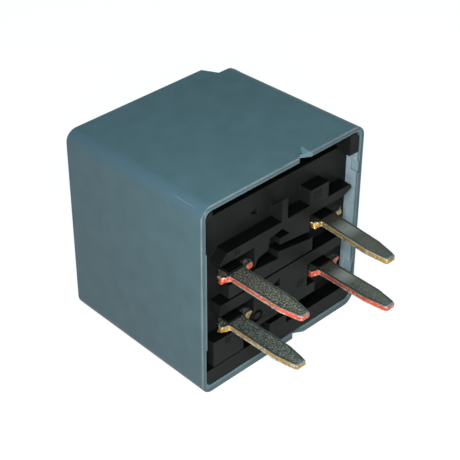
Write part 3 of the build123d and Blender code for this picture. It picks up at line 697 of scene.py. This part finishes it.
def blade_profile():
    """Section of a blade's side from the lower to the upper face, a row per ring.

    A row says how far the ring is set in (1 is the rounding's whole radius), its height, the sign
    and share by which the rounding drops it, its cut value and its level value.
    """
    half_t = BLADE_T / 2
    soft = 1 - math.sqrt(0.5)
    return (
        (1.0, -half_t, 0.0, 0.0, 0.0),
        (soft, -half_t, soft, 1.0, 0.04),
        (0.0, -half_t, 1.0, 1.0, 0.1),
        (0.0, -0.13, 0.0, 1.0, 0.34),
        (0.0, 0.13, 0.0, 1.0, 0.66),
        (0.0, half_t, -1.0, 1.0, 0.9),
        (soft, half_t, -soft, 0.3, 0.96),
        (1.0, half_t, 0.0, 0.27, 1.0),
        (1.25, half_t, 0.0, 0.2, 1.0),
        (2.0, half_t, 0.0, 0.0, 1.0),
    )


def ripple(step, height, size, rate, start, slant):
    """Wave along an outline: size times the sine of step * rate + start + height * slant."""
    return size * np.sin(step * rate + start + height * slant)


def blade_side(reach, ear_half, tip_half, phase):
    """Rings of one side of a blade: the plan set in and dropped by a rounded edge, rough where torn.

    The edge is a quarter circle of EDGE, wider over the coined tip. The cut edge waves by a sum of
    sines, and on the ear the waves are larger and the strip swells, as metal torn off a carrier does.
    """
    outline = blade_half_outline(reach, ear_half, tip_half)
    normal = outline_normals(outline)
    along = outline[:, 1]
    beyond = outline[:, 0] - BLADE_HALF
    step = np.linalg.norm(np.diff(outline, axis=0, prepend=outline[:1]), axis=1).cumsum()

    coined = np.clip((TAPER * 0.22 - (along + reach)) / (TAPER * 0.22), 0, 1)
    tapered = np.clip((TAPER - 0.2 - (along + reach)) / 1.2, 0, 1)
    torn = np.clip((beyond - 0.1) / 0.45, 0, 1)
    bead = 0.24 * np.exp(-((beyond - 0.42) / 0.2) ** 2) * (along < EAR_NEAR + 0.1)
    swell = 1 + torn * (0.22 + 0.14 * np.sin(step * 7.0 + phase[4]))
    ear_back = (normal[:, 1] > 0.1) & (beyond > 0.03)
    facing_out = np.where(ear_back | (along > EAR_FAR - 0.2), 0.0, 1.0)
    edge_in = EDGE + 0.2 * coined
    edge_drop = EDGE + 0.12 * coined

    rings = []
    cut_values = []
    level_values = []
    for inset, height, drop, cut, level in blade_profile():
        fine = ripple(step, height, 0.014, 9.1, phase[0], 5)
        finer = ripple(step, height, 0.008, 23, phase[1], -9)
        lump = ripple(step, height, 0.11, 4.3, phase[2], 4)
        small_lump = ripple(step, height, 0.06, 11, phase[3], 7)
        further = 0.34 * (1 - coined) * max(inset - 1, 0)
        wavy = fine + finer + torn * (lump + small_lump) + bead
        outward = wavy * min(cut * 2, 1) - min(inset, 1) * edge_in - further
        ring = outline + normal * outward[:, None]
        rings.append(np.column_stack([ring, (height + drop * edge_drop) * swell]))
        cut_values.append(cut * facing_out)
        # Torn and tapered parts rise in level, so they show more bare metal and spots of the painted crest
        # highlight
        level_values.append(level + np.maximum(torn * 0.6, tapered * 0.3) * (1 - level))
    return rings, cut_values, level_values


def face_rows(left, right, height):
    """Rows of points across a face from one side's ring to the other's.

    At the sides they have the rings' height, and the fifth power of the distance from the middle
    flattens them towards the face's own height.
    """
    share = np.linspace(0, 1, ACROSS)[None, :, None]
    rows = left[:, None, :] + (right - left)[:, None, :] * share
    at_side = np.abs(2 * share[..., 0] - 1) ** 5
    rows[..., 2] = height + (rows[..., 2] - height) * at_side
    return rows.reshape(-1, 3)


def blade_mesh(x, z, reach, bend, tip_half, seed):
    """Stamped blade closed from its two sides: rows of quads join them across the top and the bottom.

    Outside the rim the blade leans by bend in proportion to the distance from it.
    """
    phase = np.random.default_rng(seed).uniform(0, 6.28, 6)
    rings, cuts, levels = blade_side(reach, EAR_RIGHT, tip_half, phase)
    left_rings, left_cuts, left_levels = blade_side(reach, EAR_LEFT, tip_half, phase + 1.7)
    left_rings = [ring * np.array([-1, 1, 1]) for ring in left_rings]
    count = len(rings[0])
    ring_count = len(rings)
    blocks = [
        np.concatenate(rings),
        np.concatenate(left_rings),
        face_rows(left_rings[-1], rings[-1], BLADE_T / 2),
        face_rows(left_rings[0], rings[0], -BLADE_T / 2),
        np.stack([ring[0] for ring in left_rings + rings]),
        np.stack([ring[-1] for ring in left_rings + rings]),
    ]
    first = np.cumsum([0] + [len(block) for block in blocks])
    side = grid_quads(ring_count, count)
    rows = grid_quads(count, ACROSS)
    cap = grid_quads(2, ring_count)
    faces = np.concatenate([
        side + first[0],
        side[:, ::-1] + first[1],
        rows[:, ::-1] + first[2],
        rows + first[3],
        cap + first[4],
        cap[:, ::-1] + first[5],
    ])
    points = np.concatenate(blocks)
    flat = np.zeros(count * ACROSS)
    end = np.zeros(2 * ring_count)
    tip_cut = np.array([values[0] for values in left_cuts + cuts])
    tip_level = np.array([values[0] for values in left_levels + levels])
    cut = np.concatenate(cuts + left_cuts + [flat, flat, tip_cut, end])
    level = np.concatenate(levels + left_levels + [flat + 1, flat, tip_level, end])
    points[:, 2] += z + np.clip(-points[:, 1], 0, None) * math.tan(bend)
    points[:, 0] += x
    points[:, 1] += RIM_Y
    return points, faces, cut, level


def inner_part(node):
    """Triangles of a CAD terminal from inside the base's plate inwards, cut flat and closed, in mm."""
    shape = bmesh.new()
    shape.from_mesh(nodes[node].data)
    bmesh.ops.remove_doubles(shape, verts=shape.verts, dist=1e-7)
    cut = bmesh.ops.bisect_plane(
        shape,
        geom=shape.verts[:] + shape.edges[:] + shape.faces[:],
        plane_co=(0, (RIM_Y + BLADE_CUT) * MM, 0),
        plane_no=(0, -1, 0),
        clear_outer=True,
        dist=1e-8,
    )
    rim = [e for e in cut["geom_cut"] if isinstance(e, bmesh.types.BMEdge)]
    bmesh.ops.holes_fill(shape, edges=rim)
    bmesh.ops.recalc_face_normals(shape, faces=shape.faces)
    shape.verts.index_update()
    points = np.array([v.co for v in shape.verts]) / MM
    faces = [[v.index for v in f.verts] for f in shape.faces]
    shape.free()
    return points, faces


def stamped_terminal(number, material, x, z, reach, seed, bend=0.0, tip_half=0.85):
    """Blade and inner part of one terminal as one piece that stands for its CAD node.

    X and z place the blade, reach is how far its tip lies out from the rim, bend leans it up.
    """
    points, faces, cut, level = blade_mesh(x, z, reach, bend, tip_half, seed)
    inside, inside_faces = inner_part("terminal_" + number)
    base_index = len(points)
    all_faces = faces.tolist() + [[i + base_index for i in f] for f in inside_faces]
    all_points = np.concatenate([points, inside])
    piece = make_piece("blade_" + number, all_points, all_faces, material, "relay_frame")
    store_values(piece, "cut", np.concatenate([cut, np.zeros(len(inside))]))
    store_values(piece, "level", np.concatenate([level, np.full(len(inside), 0.5)]))
    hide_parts("terminal_" + number)


stamped_terminal(
    "30", coarse_on_copper,
    x=-8.5, z=17.0, reach=11.88, seed=3, tip_half=0.76,
)
stamped_terminal(
    "86", smooth_on_brass,
    x=8.5, z=17.25, reach=11.1, seed=5, bend=math.radians(-4.2),
)
stamped_terminal(
    "85", coarse_on_brass,
    x=-8.5, z=9.0, reach=11.58, seed=7,
)
stamped_terminal(
    "87", smooth_on_copper,
    x=8.5, z=9.12, reach=11.75, seed=11, bend=math.radians(-0.6),
)


# Contact leaf


# Angle by which the armature stands open at rest
OPEN = math.radians(2.6)

# Outer face of the yoke's leg, the hinge line at its end, and the armature's outer face from there
LEG_X = -11.6
HINGE_Y = RIM_Y + 20.4
ARM_BACK = 1.44

# Leaf: middle height, thickness, half width, edge radius, foot on the leg, reach, radius of its bend
LEAF_Z = 13.0
LEAF_T = 0.25
LEAF_HALF = 4.0
LEAF_EDGE = 0.05
LEAF_FOOT_Y = RIM_Y + 13.0
LEAF_REACH = 22.7
LEAF_BEND = 0.8


def leaf_path():
    """Inner line of the leaf: straight up the leg, an arc of LEAF_BEND round the corner, straight out."""
    turn = math.radians(90) - OPEN
    start = np.array([LEG_X, HINGE_Y + ARM_BACK / math.cos(OPEN) - LEAF_BEND * math.tan(turn / 2)])
    centre = start + np.array([LEAF_BEND, 0])
    angle = np.linspace(math.pi, math.pi - turn, 14)
    bend = centre + LEAF_BEND * np.stack([np.cos(angle), np.sin(angle)], axis=1)
    out = np.array([math.cos(OPEN), math.sin(OPEN)])
    back = np.array([-math.sin(OPEN), math.cos(OPEN)])
    tip = np.array([LEG_X, HINGE_Y]) + back * ARM_BACK + out * LEAF_REACH
    foot = np.array([LEG_X, LEAF_FOOT_Y])
    return np.concatenate([run(foot, start, 0.5)[:-1], bend, run(bend[-1], tip, 0.5)[1:]])


def contact_leaf():
    """Spring strip carried along its path: up the yoke's leg, round the hinge, out along the armature.

    A flat cross-section of small edge radii follows the path's points and their normals.
    """
    path = leaf_path()
    tangent = np.gradient(path, axis=0)
    tangent /= np.linalg.norm(tangent, axis=1, keepdims=True)
    out = np.stack([-tangent[:, 1], tangent[:, 0]], axis=1)
    flat = LEAF_HALF - LEAF_EDGE
    thick = LEAF_T - LEAF_EDGE
    section = np.array([
        (0, -flat), (0, flat), (LEAF_EDGE, LEAF_HALF), (thick, LEAF_HALF),
        (LEAF_T, flat), (LEAF_T, -flat), (thick, -LEAF_HALF), (LEAF_EDGE, -LEAF_HALF),
    ])
    rows = len(path)
    ring = len(section)
    place = path[:, None, :] + out[:, None, :] * section[None, :, :1]
    height = np.broadcast_to(LEAF_Z + section[None, :, 1:], (rows, ring, 1))
    points = np.concatenate([place, height], axis=2).reshape(-1, 3)
    faces = grid_quads(rows, ring, wrap=True).tolist()
    faces.append(list(range(ring))[::-1])
    faces.append([(rows - 1) * ring + i for i in range(ring)])
    piece = make_piece("contact_leaf_strip", points, faces, spring_bronze)
    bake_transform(piece)
    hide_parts("contact_leaf")


contact_leaf()


# CAD nodes that keep their shape


node_materials = {
    "cover": cover_plastic,
    "base": base_plastic,
    "yoke": magnet_iron,
    "core": magnet_iron,
    "armature": magnet_iron,
    "bobbin": bobbin_plastic,
    "coil_winding": enamelled_copper,
    "coil_tape": tape_film,
    "moving_contact": silver_alloy,
    "fixed_contact": silver_alloy,
    "yoke_rivet_upper": rivet_brass,
    "yoke_rivet_lower": rivet_brass,
    "armature_rivet_upper": rivet_brass,
    "armature_rivet_lower": rivet_brass,
    "armature_stop": stop_steel,
    "resistor": resistor_paint,
    "resistor_lead_85": tinned_wire,
    "resistor_lead_86": tinned_wire,
    "coil_wire_85": enamelled_copper,
    "coil_wire_86": enamelled_copper,
}
for node_name, node_material in node_materials.items():
    slots = nodes[node_name].data.materials
    slots.clear()
    slots.append(node_material)


def soften_edges(node, width):
    """Welds a CAD node's triangles and rounds its sharp edges by a hair, with modifiers only."""
    piece = nodes[node]
    weld = piece.modifiers.new("weld", "WELD")
    weld.merge_threshold = 1e-7
    bevel = piece.modifiers.new("soft edges", "BEVEL")
    bevel.width = width * MM
    bevel.segments = 2
    bevel.limit_method = "ANGLE"
    bevel.angle_limit = math.radians(30)
    bevel.use_clamp_overlap = False
    bevel.harden_normals = False


soften_edges("base", 0.07)


# Terminal numbers


# Faces of the blocks that carry the numbers, and how proud the numbers are
NUMBER_Y = RIM_Y + 0.12
NUMBER_PROUD = 0.06


def moulded_number(text, x, z, size):
    """Raised terminal number on a face of the base that looks towards -Y."""
    curve = bpy.data.curves.new("number " + text, "FONT")
    curve.body = text
    curve.size = size * MM
    curve.extrude = NUMBER_PROUD * MM
    curve.bevel_depth = 0.012 * MM
    curve.align_x = "CENTER"
    curve.align_y = "CENTER"
    letters = bpy.data.objects.new("number " + text, curve)
    bpy.context.scene.collection.objects.link(letters)
    bpy.context.view_layer.update()
    shape = bpy.data.meshes.new_from_object(letters.evaluated_get(bpy.context.evaluated_depsgraph_get()))
    bpy.data.objects.remove(letters)
    upright = Matrix.Rotation(math.radians(90), 4, "X")
    shape.transform(Matrix.Translation((x * MM, NUMBER_Y * MM, z * MM)) @ upright)
    shape.materials.clear()
    shape.materials.append(base_plastic)
    piece = bpy.data.objects.new("terminal_number_" + text, shape)
    bpy.context.scene.collection.objects.link(piece)
    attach(piece, "relay_frame")


moulded_number("86", 6.3, 22.3, 1.7)
moulded_number("30", -8.5, 20.35, 1.1)
moulded_number("85", -10.0, 6.9, 1.1)
moulded_number("87", 3.6, 9.0, 1.3)


# Stage, camera and light


# Floor in metres: radius of its flat part, radius of the bend at its border, and steps round it
FLOOR_RADIUS = 1.6
FLOOR_BEND = 0.3
FLOOR_STEPS = 72


def stage_floor():
    """Wide round floor that curves up into a low rim, a profile turned about Z."""
    bend = np.radians(np.linspace(0, 90, 12))
    flat = np.column_stack([np.linspace(0.02, FLOOR_RADIUS, 6), np.zeros(6)])
    curve = np.column_stack([
        FLOOR_RADIUS + FLOOR_BEND * np.sin(bend),
        FLOOR_BEND - FLOOR_BEND * np.cos(bend),
    ])
    border = FLOOR_RADIUS + FLOOR_BEND
    wall = np.array([(border, 0.4), (border, 0.5)])
    profile = np.concatenate([flat, curve[1:], wall])
    radius = profile[:, :1]
    height = np.repeat(profile[:, 1:], FLOOR_STEPS, axis=1)
    turn = np.linspace(0, 2 * math.pi, FLOOR_STEPS, endpoint=False)[None, :]
    points = np.stack([radius * np.cos(turn), radius * np.sin(turn), height], axis=2).reshape(-1, 3)
    faces = grid_quads(len(profile), FLOOR_STEPS, wrap=True)[:, ::-1].tolist()
    faces.append(list(range(FLOOR_STEPS)))
    mesh = bpy.data.meshes.new("studio_floor")
    mesh.from_pydata(points.tolist(), [], faces)
    mesh.shade_smooth()
    floor = bpy.data.objects.new("studio_floor", mesh)
    bpy.context.scene.collection.objects.link(floor)
    material, _, shader = material_start("white floor")
    shader["Base Color"].default_value = (0.14, 0.14, 0.14, 1)
    shader["Roughness"].default_value = 0.9
    shader["Emission Color"].default_value = (1, 1, 1, 1)
    shader["Emission Strength"].default_value = 0.84
    mesh.materials.append(material)


def photo_camera():
    """Camera at the photograph's place, turned by its azimuth, elevation and roll."""
    azimuth = math.radians(-44.274)
    elevation = math.radians(35.517)
    roll = math.radians(0.317)
    right = Vector((math.cos(azimuth), math.sin(azimuth), 0))
    back = Vector((
        math.sin(azimuth) * math.cos(elevation),
        -math.cos(azimuth) * math.cos(elevation),
        math.sin(elevation),
    ))
    up = back.cross(right)
    side = right * math.cos(roll) + up * math.sin(roll)
    top = up * math.cos(roll) - right * math.sin(roll)
    data = bpy.data.cameras.new("photo camera")
    data.sensor_width = 36
    data.lens = 103.84
    data.clip_start = 0.005
    data.clip_end = 10
    camera = bpy.data.objects.new("photo camera", data)
    turn = Matrix((side, top, back)).transposed().to_4x4()
    camera.matrix_world = Matrix.Translation((-102.59 * MM, -102.37 * MM, 119.36 * MM)) @ turn
    bpy.context.scene.collection.objects.link(camera)
    bpy.context.scene.camera = camera


def soft_light(name, place_mm, aim_mm, size_mm, power, colour, seen=True):
    """Square area light at a place, turned to a point; seen tells whether the camera sees its panel."""
    data = bpy.data.lights.new(name, "AREA")
    data.energy = power
    data.size = size_mm * MM
    data.color = colour
    lamp = bpy.data.objects.new(name, data)
    place = Vector(place_mm) * MM
    aim = Vector(aim_mm) * MM
    lamp.location = place
    lamp.visible_camera = seen
    lamp.rotation_euler = (aim - place).to_track_quat("-Z", "Y").to_euler()
    bpy.context.scene.collection.objects.link(lamp)


def studio_world(strength):
    """Even white surroundings."""
    world = bpy.data.worlds.new("studio")
    world.use_nodes = True
    background = world.node_tree.nodes["Background"]
    background.inputs["Color"].default_value = (1, 1, 1, 1)
    background.inputs["Strength"].default_value = strength
    bpy.context.scene.world = world


stage_floor()
photo_camera()
soft_light("key", (-60, -58, 84), (0, 0, 12), 44, 0.28, (1.0, 0.98, 0.95), seen=False)
soft_light("low", (-64, -62, 10), (-10, -5, 6), 30, 0.06, (1.0, 0.97, 0.93), seen=False)
soft_light("overhead", (150, 40, 400), (0, 0, 12), 260, 1.4, (0.72, 1.0, 1.03))
studio_world(0.11)
bpy.context.scene.view_settings.view_transform = "Standard"
bpy.context.scene.view_settings.look = "None"
